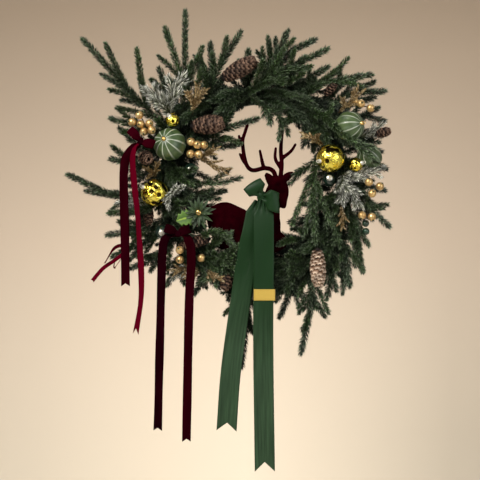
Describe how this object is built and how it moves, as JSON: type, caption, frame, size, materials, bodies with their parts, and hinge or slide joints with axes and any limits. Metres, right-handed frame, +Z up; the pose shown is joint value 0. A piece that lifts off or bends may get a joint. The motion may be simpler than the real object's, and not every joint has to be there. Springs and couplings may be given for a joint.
{
  "type": "christmas wreath",
  "caption": "Round fir wreath with cones, gold berries, baubles, a burgundy flocked deer lying in its hole, a green bow with long tails and hanging velvet ribbons.",
  "frame": {"origin": "under the outer hoop of the wire frame at its top, where a hook holds it, at the wall", "axes": "+Z up, +X to the right of a viewer who faces the wall, +Y into the wall"},
  "size_m": [0.8237, 0.1297, 1.1582],
  "materials": {
    "wire": "dark green lacquer",
    "fir_needles": "matte, soft plastic needles on wired stems",
    "frosted_needles": "matte needles under white frosting",
    "gilded_cedar": "gold glitter over brown twigs",
    "cone_scales": "dry, natural brown with copper tips",
    "gold_berry": "pearly gold",
    "striped_green": "satin green with pale stripes from pole to pole",
    "dark_gloss": "very dark green, glossy",
    "mirror_gold": "mirror gold, dented all over",
    "leaf_green": "fresh green with pale edges",
    "burgundy_flock": "deep burgundy flocking",
    "green_satin": "dark green ribbon with a fine lengthwise grain",
    "burgundy_velvet": "burgundy velvet",
    "yellow_label": "yellow, bare"
  },
  "bodies": {
    "root": {"antler_left": "burgundy_flock", "antler_right": "burgundy_flock", "berries_bottom": "gold_berry", "berries_left": "gold_berry", "berries_right": "gold_berry", "berries_top_left": "gold_berry", "berries_top_right": "gold_berry", "cone_bottom": "cone_scales", "cone_dark": "cone_scales", "cone_hanging": "cone_scales", "cone_hidden": "cone_scales", "cone_left": "cone_scales", "cone_low": "cone_scales", "cone_shaded": "cone_scales", "cone_small": "cone_scales", "cone_top": "cone_scales", "dark_bauble_left": "dark_gloss", "dark_bauble_low": "dark_gloss", "dark_bauble_right": "dark_gloss", "dark_berries": "dark_gloss", "deer": "burgundy_flock", "fir_bottom": "fir_needles", "fir_bottom_right": "fir_needles", "fir_inner_left": "fir_needles", "fir_inner_right": "fir_needles", "fir_inner_top": "fir_needles", "fir_left": "fir_needles", "fir_right": "fir_needles", "fir_top": "fir_needles", "fir_top_left": "fir_needles", "fir_top_right": "fir_needles", "frosted_bottom": "frosted_needles", "frosted_left": "frosted_needles", "frosted_right": "frosted_needles", "frosted_sprig": "frosted_needles", "frosted_top_left": "frosted_needles", "frosted_upper_right": "frosted_needles", "gilded_cluster": "gilded_cedar", "gilded_inner": "gilded_cedar", "gilded_low": "gilded_cedar", "gilded_middle": "gilded_cedar", "gilded_right": "gilded_cedar", "gilded_top": "gilded_cedar", "gilded_upper_right": "gilded_cedar", "gold_bauble_left": "mirror_gold", "gold_bauble_right": "mirror_gold", "gold_bauble_small": "mirror_gold", "gold_bauble_top": "mirror_gold", "green_ball_left": "striped_green", "green_ball_low": "striped_green", "green_ball_right": "striped_green", "green_bow": "green_satin", "green_tail_left": "green_satin", "green_tail_right": "green_satin", "label": "yellow_label", "leaf_rosette": "leaf_green", "thin_bow": "burgundy_velvet", "velvet_bow_lower": "burgundy_velvet", "velvet_bow_upper": "burgundy_velvet", "wire_frame": "wire"}
  },
  "joints": []
}
